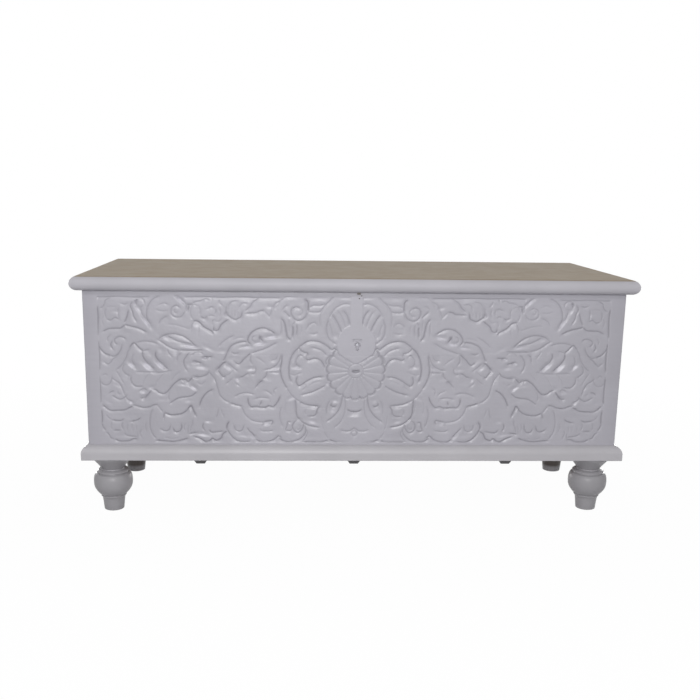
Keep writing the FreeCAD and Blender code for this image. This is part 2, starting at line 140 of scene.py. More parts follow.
MIDDLE_CUTS = """
45 147,452 157,447 163,438 167,427 171,418
60 185,460 195,454 203,447 207,440 217,431
80 180,433 190,431 197,428 217,427
40 168,417 174,425 181,432
80 223,431 225,420 231,416 238,414 247,419 256,426
40 231,452 239,451 245,448 250,440 252,430
40 211,446 219,447 226,444 229,436
35 231,431 230,425 232,419
35 237,432 237,425 238,418
35 244,430 244,424 245,419
90 250,415 258,409 265,403 270,394 278,393 279,400
90 280,387 285,392 299,400 309,410 319,412
55 275,461 280,456 283,451
50 285,453 294,455 302,451 313,449 319,445
70 317,445 324,444 331,444
55 253,442 254,431 253,421
40 268,456 267,448 261,442
60 291,421 297,417 304,421
50 275,437 274,431 276,424
50 276,438 284,438 292,434
45 275,421 283,423 290,421
40 267,438 265,429 268,420
40 276,415 281,410 280,402
45 306,440 304,431 306,423
40 308,441 317,443 323,435 323,423 318,413
35 262,418 268,411 276,412
35 291,410 299,409 304,413
60 148,458 190,458 230,459 262,458 300,459 335,458
50 316,411 321,403 323,392
30 308,401 307,393 309,385
85 158,387 167,393 180,398 193,396 202,391 209,383 212,373 206,365
95 190,384 187,377 182,372
60 197,370 203,374 203,380 197,384
60 155,370 167,363 179,357 194,352 206,348
75 207,348 213,342 220,336 230,326 240,332
75 213,371 222,371 232,369 243,364 249,357 254,347 258,337 262,333
70 228,349 237,347 245,350
100 256,331 263,326 274,314
80 272,313 267,307 261,300 256,303
45 255,331 246,323 239,317 233,312
40 241,314 249,306 257,302
55 207,344 208,334 203,324
50 198,320 197,313 201,307 209,308
70 209,309 215,307 222,302 230,300
50 239,293 236,287 228,281
50 242,298 250,291 257,286
60 175,312 177,302 185,294
90 183,294 190,289 198,279
35 178,327 185,333 196,340
60 146,346 150,333 157,323 168,317 180,315
60 149,310 160,310 173,310
50 154,346 158,336 168,334
45 154,279 161,273 160,264
45 165,263 172,270 182,274
90 148,263 154,249 162,240 172,241 181,238 195,240 207,240 212,248 213,258
50 169,257 185,259 200,256
80 186,252 187,247 190,241
35 170,255 168,248
55 200,265 216,268 228,266 241,260
60 290,312 281,300 275,288 272,275 268,263 259,253 248,248
90 250,248 236,243 225,241
60 226,242 223,233 218,223 207,213 194,209 180,208
80 184,208 165,211 166,201
50 240,383 251,377 262,369 270,360
25 218,379 230,379 243,374
60 160,192 172,190 183,190 190,193
50 182,207 184,198
85 146,175 153,179 163,171 178,167 190,168 199,173
80 198,174 204,184 210,190 216,198
60 221,203 224,193 230,189 238,192 242,204
80 222,193 228,189
100 250,210 254,201 254,192
80 254,194 249,184 238,172 225,167 207,168
90 254,190 262,184 267,174 277,170 283,174 290,169 298,168 308,174 323,180
80 263,190 273,188 286,187 292,193
75 302,208 303,198 299,190
90 314,186 331,184
50 272,237 273,226 277,215
40 261,219 265,229 267,236
90 281,275 291,270 300,261 306,250 309,240
90 326,241 321,230 315,219
"""
CARTOUCHE_CUTS = """
90 281,341 290,340 299,339
90 302,328 311,330 320,332
50 299,346 307,351 317,349 324,342
80 288,312 294,304 306,300 320,299
35 296,292 305,285 314,290
70 300,354 315,353 330,353 347,353
80 314,362 322,370 332,378 341,383 353,386 363,386 375,383 388,374
60 389,375 381,370 373,364 365,359 355,355 345,353
60 322,366 340,369 353,373 371,383
55 388,366 397,369 409,371 421,370 431,367
85 416,351 424,357 434,367 444,356
50 403,354 411,353 419,350
50 370,355 367,348 360,339
85 393,351 393,341 387,331 379,323 369,315
85 418,351 418,341 411,329 402,320 396,315
45 436,346 439,337 438,326 431,315
70 327,348 334,339 338,331 336,320 331,311
60 343,349 350,341 352,330
50 362,313 380,309 400,309 432,310
55 451,329 457,320 457,312 452,306 443,300
60 443,302 442,290 436,282 428,280 418,281
85 402,275 394,273 386,267 377,266 369,272 360,283 352,290 342,295 334,292
30 366,312 380,304 390,291 396,279
30 394,311 408,305 417,292 421,282
30 345,311 356,303 364,292
100 403,272 409,264 416,257 424,257
60 411,272 419,276 428,270
90 322,299 326,294 331,290 337,297
70 337,289 344,296 354,290
75 313,270 322,262 332,259 348,257 358,252 368,245
45 366,273 370,262 368,252
90 316,222 321,231 326,241 334,232 343,226 355,223 367,223 380,228
50 379,227 387,237 392,245
80 390,244 399,243 409,239 421,238 434,242 444,243
60 440,360 447,350 450,340 455,330 462,321 471,313
40 471,312 464,300 456,285
"""
OUTER_CUTS = """
50 328,430 332,444 339,452 350,460
70 326,444 328,436 331,430
50 334,430 339,421 348,418 357,421 361,428 358,437 350,441 343,437
40 347,432 351,428 355,432 352,437
35 364,443 375,446 386,442
30 366,432 378,431 390,434
55 367,421 375,417 381,412 386,403
65 381,460 391,456 399,449 405,439 408,426 407,413 401,399
30 322,402 326,396 340,400 355,404 370,404
50 411,442 413,451 420,455 426,452
85 424,454 428,448 426,441
45 413,442 418,438 423,439
70 435,448 439,440 435,428 433,419 427,408
80 442,432 446,417 451,406
45 401,401 409,412 417,425 420,438
60 400,458 430,457 462,458 488,457 503,457
50 443,446 451,443 459,446
60 474,457 486,451 489,443 492,438 498,435
55 462,438 463,427 461,415
60 460,414 469,417 477,412 485,415
50 485,414 488,426 485,437
30 464,438 475,439 485,437
35 488,422 494,414 491,402
85 408,389 418,394 428,398 441,401 452,404
80 450,404 458,397 470,396 483,395 495,389
70 449,373 454,378 462,379 471,374 470,367 465,364
80 476,371 479,362 474,353
75 457,364 460,353 466,344 474,341 482,343
85 479,342 490,346 498,354 503,364
50 479,384 485,376 483,369
65 466,341 475,336 481,329 487,325 495,330
40 480,338 486,343 494,340
85 440,241 448,236 458,232 472,231 484,231 493,236 500,243
60 440,249 447,252 452,257 454,265
70 451,263 457,257 465,254 473,257 480,262
75 474,271 481,270 487,265
60 456,262 460,275 466,287 473,292 482,299
40 470,272 468,266 461,266
55 479,302 481,291 487,284 496,284 502,291
45 486,300 492,305 499,301
95 502,440 501,420 502,400 503,380
85 503,372 502,350 502,330 503,312
85 503,302 502,280 502,258 503,246
95 502,234 501,218 502,204
55 401,234 405,224 407,212 407,198 403,184 395,173
90 397,171 379,169 360,168 345,171 333,175
50 322,215 323,204 326,196 328,185
80 345,205 345,195 350,188 358,188 362,196
75 367,202 371,191 380,189 389,194
80 378,229 380,222 381,214
40 331,204 333,193 333,182
45 338,206 340,198 338,190
30 350,176 364,173 380,176
85 426,216 433,211 447,208
40 415,209 417,198 415,188
50 426,192 428,184 424,174
50 433,188 432,180 434,173
40 443,205 443,196 442,189
35 435,203 435,196 435,189
35 452,204 453,196 452,189
60 433,178 442,179 453,181 460,186
85 459,213 466,210 474,210 484,212
50 483,212 489,217 494,224
55 462,210 464,201 461,192
80 466,190 474,190 481,190
45 483,209 485,199 482,191
85 432,173 441,173 450,169 460,168 470,169 478,174
65 478,173 486,176 490,183 496,189
80 495,190 500,197 503,208
"""
# Cuts over the middle line are drawn from left to right.
MIDDLE_LINE_CUTS = """
90 -15,235 -8,231 0,230 8,231 15,235
60 -29,193 -18,190 -8,191 0,196 8,191 18,190 29,193
50 -6,186 0,192 6,186 0,180 -6,186
85 -50,172 -36,167 -18,165 0,164 18,165 36,167 50,172
"""
# Each sunk place is its middle, its half sizes and its depth in hundredths.
SUNK = """
84,398,14,14,12 122,344,7,14,12 124,300,6,12,12 97,440,4,12,20 187,378,3,4,40 272,314,4,6,30 297,339,5,3,35
317,330,5,3,30 315,300,7,3,30 330,293,8,5,25 254,425,4,4,30 190,290,6,5,20 416,260,6,4,30 326,238,3,5,30
329,437,3,6,30 428,448,3,4,30 281,300,5,14,20 296,236,12,16,14 234,196,7,6,15 240,337,10,6,20 224,292,14,8,15
163,338,7,7,15 172,300,8,7,15 450,388,12,6,10 372,414,14,8,10 210,455,10,5,10 133,398,12,16,10 452,300,8,8,15
80,178,20,7,10 128,232,12,18,10 88,228,10,7,12 445,425,10,14,12 450,220,30,6,12 420,190,10,10,12
"""
# Each glint is a face that looks up, with a painted highlight on it: its middle, half length, half width, turn and
# depth in hundredths.
GLINTS = """
384,323,12,7,42,95 410,320,13,7,42,95 440,322,10,6,38,80 325,360,16,4,8,70 372,376,10,5,22,45 409,408,14,5,52,80
425,433,7,5,60,55 343,451,12,4,42,70 321,277,9,5,35,75 340,283,10,4,8,30 401,276,7,5,0,45 418,268,5,5,0,50
444,246,6,4,40,60 330,250,9,5,-8,28 382,252,11,5,0,20 166,379,12,5,-8,80 191,366,10,5,-8,85 214,359,12,4,-4,72
235,295,5,6,50,60 206,315,8,5,-5,42 252,318,9,6,40,50 303,318,12,6,6,50 156,317,9,5,-18,45 117,319,9,5,0,50
43,382,7,8,55,32 40,251,7,6,0,36 43,231,6,10,-50,40 85,237,9,6,0,35 86,208,12,6,15,42 5,222,7,5,0,32
128,255,7,5,-20,30 174,203,8,5,-10,40 203,176,8,5,40,45 222,179,14,5,8,25 303,181,16,5,8,45 292,208,9,5,4,40
313,403,5,9,70,42 296,412,8,5,20,25 168,438,7,4,15,30 113,212,8,4,0,35 74,455,16,5,0,22 130,458,14,5,0,20
467,427,7,5,0,25 494,327,6,4,0,22 468,280,9,4,25,20 488,247,8,4,25,20 466,178,16,5,4,18 57,285,5,5,0,30
355,347,9,8,45,25 384,352,8,7,55,25 406,345,8,7,50,22 330,322,6,7,30,25 262,350,12,5,5,22 290,356,14,5,25,25
156,408,6,12,10,12 20,457,14,4,0,18
"""
# The foot's outline from the floor up: radius and height, in millimetres, corner by corner.
FOOT_OUTLINE = """
0,0 18.5,0 19.6,0.5 20,1.5 21.2,14 22.3,23.3 22.8,25.6 24.2,28 25.6,30 25.4,31 24.2,31.8 24.2,32.6 26.2,33.4
28.3,34.8 31.6,38.5 34.6,42.8 37,47.2 38.4,52 39,58 39,63 38.6,68 37.3,73 35.2,76.6 33.6,78.2 30.2,79 29.8,80.2
31.8,81.2 31.6,83 29.8,84.6 27.2,85.4 23,86 22.4,87.4 23,89 25,90.6 26.6,93 28.8,96 31,98.8 33.2,101.4 35.4,103.8
37.4,106.2 39.2,108.6 41,110.8 42,112.6 42,115 41.6,115.8 12,116 12,146 0,146
"""

# The carving, in units of the drawing or as shares of its depth.
LEVEL = 0.97  # height of the forms before they are cut
OFF_MIDDLE = -1  # how far the pattern lies beside the front's middle line
SOFT_SIDE = 0.72  # the glints to the right of the middle are less deep, and their painted highlights fainter
CUT_REACH = 11  # how far a cut's soft side goes
RUN_OUT = 7  # how long a cut's end is
BLUNT_END = 0.35  # how deep it starts
CUT_DEPTH = 0.43
TOOL_MARKS = 0.03

# The planks, the feet and the ironwork, in metres.
FIELD_STEP = 0.0002  # from the field's edge to the flat border
BORDER_ROWS = (FIELD_STEP, 0.0014, 0.0028)  # rows of points above the field
JOINT_EASE, JOINT_DROP = 0.0006, 0.00012  # width and depth of the easing of a plank's long edges
SIDE_EASE, SIDE_DROP = 0.0015, 0.0006  # and of its ends
PAST = 0.01  # how far a cutter reaches past what it cuts
LID_ROUND = 0.0004
WIDE_ROUND = 0.002  # rounds above this get more segments
SOLE_LINE = 0.009  # the rear feet get painted shade above it
NAILS = ((0.0088, 0.4472), (0.0043, 0.4419))
NAIL_RADIUS = 0.0012
SCREW_INSET = 0.012


def numbers(text):
    """Groups of numbers: spaces part the groups and commas the numbers in a group."""
    return [tuple(map(float, group.split(","))) for group in text.split()]


def strokes(text):
    """The cuts of a part of the pattern, each with its depth share and its path."""
    for line in text.strip().split("\n"):
        hundredths, path = line.split(None, 1)
        yield float(hundredths) / 100, numbers(path)


def spline(points, steps=6):
    """Points on a smooth curve through the given ones."""
    p = np.array(points, float)
    if len(p) < 3:
        s = np.linspace(0, 1, steps + 1)[:, None]
        return p[:1] * (1 - s) + p[-1:] * s
    ends = np.vstack([2 * p[0] - p[1], p, 2 * p[-1] - p[-2]])
    if np.allclose(p[0], p[-1]):
        ends[0], ends[-1] = p[-2], p[1]
    found = []
    for a, b, c, d in zip(ends, ends[1:], ends[2:], ends[3:]):
        s = np.arange(steps)[:, None] / steps
        bend = (2 * a - 5 * b + 4 * c - d) * s ** 2 + (3 * b - a - 3 * c + d) * s ** 3
        found.append(0.5 * (2 * b + (c - a) * s + bend))
    return np.vstack(found + [p[-1:]])


def from_path(x, z, path):
    """How far each place lies from a path, how far along it and how far below it."""
    a, d = path[:-1], path[1:] - path[:-1]
    px, pz = x[..., None] - a[:, 0], z[..., None] - a[:, 1]
    s = np.clip((px * d[:, 0] + pz * d[:, 1]) / np.maximum((d ** 2).sum(1), 1e-9), 0, 1)
    off = np.hypot(px - s * d[:, 0], pz - s * d[:, 1])
    nearest = np.argmin(off, axis=-1)[..., None]
    share = np.take_along_axis(s, nearest, -1)[..., 0]
    index = nearest[..., 0]
    drop = a[index, 1] + share * d[index, 1] - z
    return np.take_along_axis(off, nearest, -1)[..., 0], (index + share) / len(a), drop


class Relief:
    """The height of the carving as a share of its depth: 0 is the deepest cut and 1 the border."""

    def __init__(self, x, z):
        self.x, self.z = x, z
        self.h = np.full((len(z), len(x)), LEVEL)
        # Besides the height, two fields are kept for the paint's colour: painted shade along the cuts and a painted
        # highlight on the glints.
        self.cut, self.line, self.painted_highlight = (np.zeros_like(self.h) for _ in range(3))

    def window(self, low, high):
        """The part of the field between two corners, and its places."""
        columns = slice(*np.searchsorted(self.x, (low[0], high[0])))
        rows = slice(*np.searchsorted(self.z, (low[1], high[1])))
        return ((rows, columns), *np.meshgrid(self.x[columns], self.z[rows]))

    def around(self, u, v, half_u, half_v):
        return self.window((u - half_u, v - half_v), (u + half_u, v + half_v))

    def gouge(self, depth, points):
        """A cut that is steep above and runs out softly below, as a form that lies on the next one."""
        path = spline(points)
        part, x, z = self.window(path.min(0) - CUT_REACH, path.max(0) + CUT_REACH)
        if x.size == 0:
            return
        off, along, drop = from_path(x, z, path)
        run = depth
        if not np.allclose(path[0], path[-1]):
            long = np.hypot(*np.diff(path, axis=0).T).sum()
            run = depth * np.clip(np.minimum(along, 1 - along) * long / RUN_OUT + BLUNT_END, 0, 1)
        below = np.clip(drop / np.maximum(off, 1e-6), 0, 1)
        narrow = 0.85 + 0.55 * depth
        floor = np.exp(-(off / (narrow * (1 + 1.6 * below))) ** 2)
        slope = np.exp(-(off / (narrow * (1.9 + 3.0 * below))) ** 1.5)
        # Painted shade: a narrow dark line of paint along the middle of the cut.
        line = np.exp(-(off / (1.15 + 0.5 * depth)) ** 2)
        self.cut[part] = np.maximum(self.cut[part], run * (0.55 * floor + 0.45 * slope))
        self.line[part] = np.maximum(self.line[part], run * line)

    def sink(self, u, v, half_u, half_v, depth):
        """A shallow hollow between the forms."""
        part, x, z = self.around(u, v, 2.5 * half_u, 2.5 * half_v)
        self.h[part] -= depth * np.exp(-(((x - u) / half_u) ** 2 + ((z - v) / half_v) ** 2) ** 1.5)

    def face_up(self, u, v, half_length, half_width, turn, depth):
        """A face that leans back, so that it catches the light from above, with a painted highlight on it as well.
        """
        far = 2.2 * max(half_length, half_width)
        part, x, z = self.around(u, v, far, far)
        c, s = math.cos(turn), math.sin(turn)
        along, across = (x - u) * c + (z - v) * s, (z - v) * c - (x - u) * s
        share = np.exp(-(along / half_length) ** 2 - (across / half_width) ** 2)
        self.h[part] -= 0.8 * depth * share * (0.45 + across / half_width)
        # Painted highlight on the leaning face.
        self.painted_highlight[part] = np.maximum(self.painted_highlight[part], depth * share ** 2)


def rosette(relief):
    """The fluted petals round the boss with its sunk middle."""
    middle, tip, boss, step = 313.0, 57.0, 15, 2 * math.pi / 19
    part, x, z = relief.around(0, middle, tip + 5, tip + 5)
    up = z - middle
    r, turn = np.hypot(x, up), np.arctan2(up, x) + math.pi / 2
    across = ((turn + step / 2) % step - step / 2) / (step / 2)
    outline = tip - 7.0 * (1 - np.sqrt(np.maximum(1 - (across * 0.96) ** 2, 0)))
    flute = 0.98 - 0.13 * np.abs(across) ** 2.5 - 0.14 * np.clip(up / tip, -1, 0) ** 2
    rim = 0.72 * np.exp(-((r - outline - 1.0) / 2.0) ** 2) * (r < outline + 6)
    # The rim round the petals is cut and also gets painted shade.
    for layer in (relief.cut, relief.line):
        layer[part] = np.maximum(np.where(r < outline, 0, layer[part]), rim)
    # Painted shade between the petals.
    between = 0.42 * np.abs(across) ** 9 * (r < outline) * (r > boss)
    line = np.maximum(relief.line[part], between)
    smile = np.exp(-((up - 0.02 * x ** 2 + 1.0) / 2.5) ** 2 - (x / 7.5) ** 4)
    raised = 0.66 + 0.34 * np.clip((boss + 0.5 - r) / 3, 0, 1)
    petals = np.where(r < outline + 1, flute, relief.h[part])
    relief.h[part] = np.clip(np.where(r < boss, raised, petals) - 0.6 * smile, 0, 1)
    relief.cut[part] = np.where(r < boss, 0, relief.cut[part])
    # Painted shade in the boss's sunk smile, and a painted line of shade round the boss, which has no cut.
    groove = 0.6 * np.exp(-((r - boss - 0.5) / 1.3) ** 2) * np.clip(0.55 - up / 22, 0, 1)
    relief.line[part] = np.where(r < 19, np.maximum(np.where(r < boss, 1.5 * smile, line), groove), line)


def lock_ground(relief):
    """The plain disc round the lock, which runs down to the rosette and up to the top edge."""
    radius, middle, neck = 38.5, 368.0, 12.0
    part, x, z = relief.window((-60, 325), (60, DRAWING_HIGH))
    inside = np.minimum(radius - np.hypot(x, z - middle), (z - 326.5 - np.abs(x) * 0.62) * 0.85)
    inside = np.maximum(inside, np.minimum(neck - np.abs(x), z - middle - neck))
    strength = np.where(z < 362, 0.48, 0.10) * np.clip((np.abs(x) - 4) / 6, 0, 1)
    rim = np.exp(-((inside + 1.2) / 1.8) ** 2) * strength
    plain = inside > 0
    relief.h[part] = np.where(plain, 0.99, relief.h[part])
    # The rim round the disc is cut and gets painted shade; the plain disc gets a faint painted highlight.
    for layer in (relief.cut, relief.line):
        layer[part] = np.where(plain, 0, np.maximum(layer[part], rim))
    relief.painted_highlight[part] = np.where(plain, 0.22, relief.painted_highlight[part])


def draw_carving(relief, seed=7):
    """Every cut of the carving on both halves; no two strokes of the gouge land quite alike."""
    rng = np.random.default_rng(seed)
    for cuts in (LOBE_CUTS, VOLUTE_CUTS, MIDDLE_CUTS, CARTOUCHE_CUTS, OUTER_CUTS):
        for depth, points in strokes(cuts):
            for side in (-1, 1):
                du, dv = rng.normal(0, 0.35, 2)
                path = [(side * u + OFF_MIDDLE + du, v + dv) for u, v in points]
                relief.gouge(depth * rng.uniform(0.88, 1.08), path)
    for depth, points in strokes(MIDDLE_LINE_CUTS):
        relief.gouge(depth, [(u + OFF_MIDDLE, v) for u, v in points])
    for side in (-1, 1):
        for u, v, half_u, half_v, depth in numbers(SUNK):
            relief.sink(side * u + OFF_MIDDLE, v, half_u, half_v, depth / 100)
        for u, v, half_length, half_width, turn, depth in numbers(GLINTS):
            share = depth / 100 * (SOFT_SIDE if side > 0 else 1)
            relief.face_up(side * u + OFF_MIDDLE, v, half_length, half_width, math.radians(side * turn), share)
    rosette(relief)
    lock_ground(relief)
    tool = rng.normal(0, 1, relief.h.shape)
    for _ in range(2):
        for axis in (0, 1):
            tool = (np.roll(tool, 1, axis) + tool + np.roll(tool, -1, axis)) / 3
    height = np.minimum(relief.h, 1.0) - CUT_DEPTH * relief.cut + TOOL_MARKS * tool
    x, z = np.meshgrid(relief.x, relief.z)
    inside = np.minimum(np.minimum(z - DRAWING_LOW, DRAWING_HIGH - z), DRAWING_HALF - np.abs(x))
    worn = 1 - 0.25 * np.clip((np.abs(x) - 420) / 80, 0, 1)
    relief.h = np.clip(1 - (1 - height) * worn * np.clip(inside / 2.5, 0, 1), 0.02, 1.0)


def in_cells(places, lines):
    """The cell of evenly spaced lines that each place is in, and how far into it."""
    steps = np.clip((places - lines[0]) / (lines[1] - lines[0]), 0, len(lines) - 1.001)
    whole = steps.astype(int)
    return whole, steps - whole


class CarvedField:
    """The carving laid on the front: its height and its shading at any place of the planks."""

    def __init__(self, sizes):
        self.half, self.low, self.high = sizes.field_half_width, sizes.field_low, sizes.field_high
        self.scale = (DRAWING_HIGH - DRAWING_LOW) / (self.high - self.low)
        cell = sizes.carving_cell * self.scale
        self.x = np.linspace(-DRAWING_HALF, DRAWING_HALF, round(2 * DRAWING_HALF / cell) + 1)
        self.z = np.linspace(DRAWING_LOW, DRAWING_HIGH, round((DRAWING_HIGH - DRAWING_LOW) / cell) + 1)
        relief = Relief(self.x, self.z)
        draw_carving(relief)
        self.h = relief.h
        # Painted light for the paint's colour: painted shade along the cuts, less a painted highlight on the
        # glints.
        self.dark = relief.line - np.clip(1.3 * relief.painted_highlight, 0, 1) * (1 - 0.7 * relief.line)
        side_x = edge("front_plank_lower", 1, 0)
        margin = np.array([self.half + FIELD_STEP, side_x - SIDE_EASE, side_x])
        self.columns = np.concatenate([-margin[::-1], self.x / DRAWING_HALF * self.half, margin])

    def sample(self, values, xs, zs, outside):
        """The values at rows and columns of the planks, and a plain value outside the field."""
        i, fi = in_cells(xs / self.half * DRAWING_HALF, self.x)
        j, fj = in_cells(DRAWING_LOW + (zs - self.low) * self.scale, self.z)
        fj = fj[:, None]
        low, high = (values[row][:, i] * (1 - fi) + values[row][:, i + 1] * fi for row in (j, j + 1))
        past = (zs < self.low - 1e-6) | (zs > self.high + 1e-6)
        return np.where((np.abs(xs) > self.half) | past[:, None], outside, low * (1 - fj) + high * fj)


# Sizes and colours

def edge(node, corner, axis):
    """One side of a node's box: corner 0 is the low one and 1 the high one."""
    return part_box(node)[corner][axis]


def srgb(red, green, blue):
    """A colour of the paint card, 0 to 255 a channel, as Blender stores it."""
    return tuple((c / 255 / 12.92 if c <= 10.3 else ((c / 255 + 0.055) / 1.055) ** 2.4) for c in (red, green, blue))


def colour(title, note, value):
    return bpy.props.FloatVectorProperty(name=title, description=note, subtype="COLOR", size=3, min=0, max=1,
                                         default=value)


def length(title, note, value):
    return bpy.props.FloatProperty(name=title, description=note, subtype="DISTANCE", unit="LENGTH", min=0,
                                   default=value)


class TrunkSizes(bpy.types.PropertyGroup):
    """The sizes of the finish and of the carving."""
    relief_depth: length("Relief depth", "How deep the ground of the carving lies", 0.005)
    carving_cell: length("Carving cell", "Spacing of the carved surface's points", 0.00115)
    field_half_width: length("Field half width", "From the middle to the side border of the carving", 0.504)
    field_low: length("Field low edge", "Height of the lower border of the carving", 0.1495)
    field_high: length("Field high edge", "Height of the upper border of the carving", 0.446)
    opening_depth: length("Opening depth", "How deep the paint lets the slot and the keyhole open", 0.0065)
    edge_round: length("Edge round", "Softening of the boards' edges", 0.0012)
    metal_round: length("Metal round", "Softening of the edges of the iron parts", 0.0003)
    screw_radius: length("Screw radius", "Radius of the screws' heads", 0.0032)


class TrunkColours(bpy.types.PropertyGroup):
    """The colours of the finish."""
    front_paint: colour("Front paint", "Satin paint of the carved front", srgb(172, 170, 178))
    side_paint: colour("Side paint", "Satin paint of the ends, the mouldings and the feet", srgb(170, 168, 172))
    # Painted shade: the lid top colour stands for the dim, warm light on the lid's upward faces.
    lid_top_painted_shade: colour("Lid top", "Warmer paint on the top of the lid", srgb(147, 130, 106))
    # The lid edge paint is lighter than the side paint, partly as a painted highlight on the rounded edge.
    lid_nose: colour("Lid edge", "Paint on the rounded edge of the lid", srgb(186, 184, 190))
    # The recess colour is painted shade in the carving's cuts.
    recess: colour("Recess", "Dust and old glaze in the recesses of the carving", srgb(112, 110, 118))
    # The shaded colour is painted shade on the rear feet, which stand in the trunk's shadow.
    rear_foot_painted_shade: colour("Shaded paint", "Dull paint of the rear feet above their soles", srgb(90, 83, 80))
    bare_wood: colour("Bare wood", "Unpainted hardwood inside the trunk", srgb(138, 98, 66))
    wood_grain: colour("Wood grain", "Dark lines of the bare wood", srgb(92, 60, 40))
    iron: colour("Iron", "Aged iron of the lock and the hinges", srgb(92, 88, 84))


# Materials

class NodeTree:
    """The nodes of a material or of the world."""

    def __init__(self, owner):
        owner.use_nodes = True
        self.nodes, self.links = owner.node_tree.nodes, owner.node_tree.links

    def put(self, target, value):
        """Links a socket to an input, or sets its value."""
        if isinstance(value, bpy.types.NodeSocket):
            self.links.new(value, target)
        elif target.type == "RGBA" and len(value) == 3:
            target.default_value = (*value, 1.0)
        else:
            target.default_value = value

    def add(self, kind, inputs=None, **settings):
        node = self.nodes.new(kind)
        for key, value in settings.items():
            setattr(node, key, value)
        for key, value in (inputs or {}).items():
            self.put(node.inputs[key], value)
        return node

    def place(self):
        return self.add("ShaderNodeTexCoord").outputs["Object"]

    def maths(self, operation, first, second):
        return self.add("ShaderNodeMath", {0: first, 1: second}, operation=operation).outputs["Value"]

    def mix(self, share, first, second):
        return self.add("ShaderNodeMix", {0: share, 6: first, 7: second}, data_type="RGBA").outputs[2]

    def seen(self):
        """1 for rays from the camera and for reflections, 0 for the light on the object."""
        rays = self.add("ShaderNodeLightPath").outputs
        found = self.maths("MAXIMUM", rays["Is Camera Ray"], rays["Is Glossy Ray"])
        return self.maths("MAXIMUM", found, rays["Is Transmission Ray"])

    def end(self, output, share, first, second):
        """Leads a mix of two shaders to the output."""
        both = self.add("ShaderNodeMixShader", {0: share, 1: first.outputs[0], 2: second.outputs[0]})
        self.links.new(both.outputs[0], self.nodes[output].inputs["Surface"])


class Shade(NodeTree):
    """A material that is built up node by node."""

    def __init__(self, name):
        self.material = bpy.data.materials.new(name)
        super().__init__(self.material)
        self.shader = self.nodes["Principled BSDF"]
        self.here = self.place()

    def noise(self, scale, detail, rough, stretch=None, distortion=0.0):
        vector = self.here
        if stretch:
            vector = self.add("ShaderNodeMapping", {"Vector": vector, "Scale": stretch}).outputs["Vector"]
        inputs = {"Vector": vector, "Scale": scale, "Detail": detail, "Roughness": rough, "Distortion": distortion}
        return self.add("ShaderNodeTexNoise", inputs).outputs["Fac"]

    def ramp(self, value, low, high, out_low=0.0, out_high=1.0):
        inputs = {"Value": value, "From Min": low, "From Max": high, "To Min": out_low, "To Max": out_high}
        return self.add("ShaderNodeMapRange", inputs, interpolation_type="SMOOTHSTEP").outputs["Result"]

    def height(self, vector):
        return self.add("ShaderNodeSeparateXYZ", {0: vector}).outputs["Z"]

    def bump(self, height, strength, distance):
        inputs = {"Height": height, "Strength": strength, "Distance": distance}
        return self.add("ShaderNodeBump", inputs).outputs["Normal"]

    def finish(self, **values):
        for key, value in values.items():
            self.put(self.shader.inputs[key.replace("_", " ").title()], value)
        return self.material


def tint(paint, share):
    return tuple(min(1.0, c * share) for c in paint)


def paint_shade(name, paint, run, recess=None, top=None, above=None, gloss=0.5):
    """Satin paint on wood, with faint brush marks, a mottled coat and grain that shows through; it can also carry
    painted shade in the carving's cuts, painted highlights on its glints, a darker, warmer top as painted shade,
    and painted shade above a given height.
    """
    s = Shade(name)
    brush = s.noise(190, 3, 0.6, run)
    mottle = s.noise(9, 3, 0.5)
    grain = s.noise(60, 5, 0.6, run, 0.4)
    base = s.mix(s.ramp(mottle, 0.3, 0.7), tint(paint, 0.955), tint(paint, 1.04))
    base = s.mix(s.ramp(brush, 0.25, 0.8, 0.0, 0.35), base, tint(paint, 0.93))
    # Painted shade: faces that look up take a darker, warmer colour, standing for the weaker, warmer light on them.
    if top:
        facing_up = s.ramp(s.height(s.add("ShaderNodeNewGeometry").outputs["Normal"]), 0.80, 0.985)
        streak = s.noise(14, 3, 0.5, (0.12, 1, 1))
        base = s.mix(facing_up, base, s.mix(s.ramp(streak, 0.3, 0.75), tint(top, 0.985), tint(top, 1.015)))
    # Painted shade in the carving's cuts, unevenly mottled; the recess colour stands in for their shadow.
    if recess:
        depth = s.add("ShaderNodeAttribute", attribute_name="painted_shade_and_highlight").outputs["Fac"]
        uneven = s.ramp(s.noise(45, 4, 0.6), 0.1, 0.6, 0.7, 1)
        painted_shade_share = s.maths("MULTIPLY", s.ramp(depth, 0.05, 0.95), uneven)
        base = s.mix(s.maths("MULTIPLY", painted_shade_share, 0.60), base, recess)
        # Painted highlight: the glints are mixed towards a much lighter copy of the paint.
        rubbed = s.ramp(s.maths("MULTIPLY", depth, -1.0), 0.12, 0.95, 0.0, 0.62)
        base = s.mix(rubbed, base, tint(paint, 1.65))
    # Painted shade: above the given height the paint turns to the dark shaded colour.
    if above:
        line, dull = above
        base = s.mix(s.ramp(s.height(s.here), line, line + 0.008), base, dull)
    rough = s.ramp(s.noise(30, 4, 0.6), 0.3, 0.7, 0.41, 0.47)
    lines = s.bump(s.maths("ADD", s.maths("MULTIPLY", brush, 0.6), grain), 0.16, 0.0006)
    s.shader.inputs["Specular IOR Level"].default_value = gloss
    return s.finish(base_color=base, roughness=rough, normal=lines, coat_weight=0.25 * gloss, coat_roughness=0.25)


def wood_shade(name, wood, grain_colour, run):
    """Unpainted hardwood: long grain, pores and a dull surface."""
    s = Shade(name)
    broad = s.noise(16, 5, 0.6, run, 1.2)
    fine = s.noise(140, 3, 0.65, run)
    base = s.mix(s.ramp(broad, 0.35, 0.68), wood, grain_colour)
    base = s.mix(s.ramp(fine, 0.5, 0.85, 0.0, 0.5), base, tint(grain_colour, 0.7))
    rough = s.ramp(broad, 0.3, 0.7, 0.62, 0.78)
    return s.finish(base_color=base, roughness=rough, normal=s.bump(fine, 0.25, 0.0006))


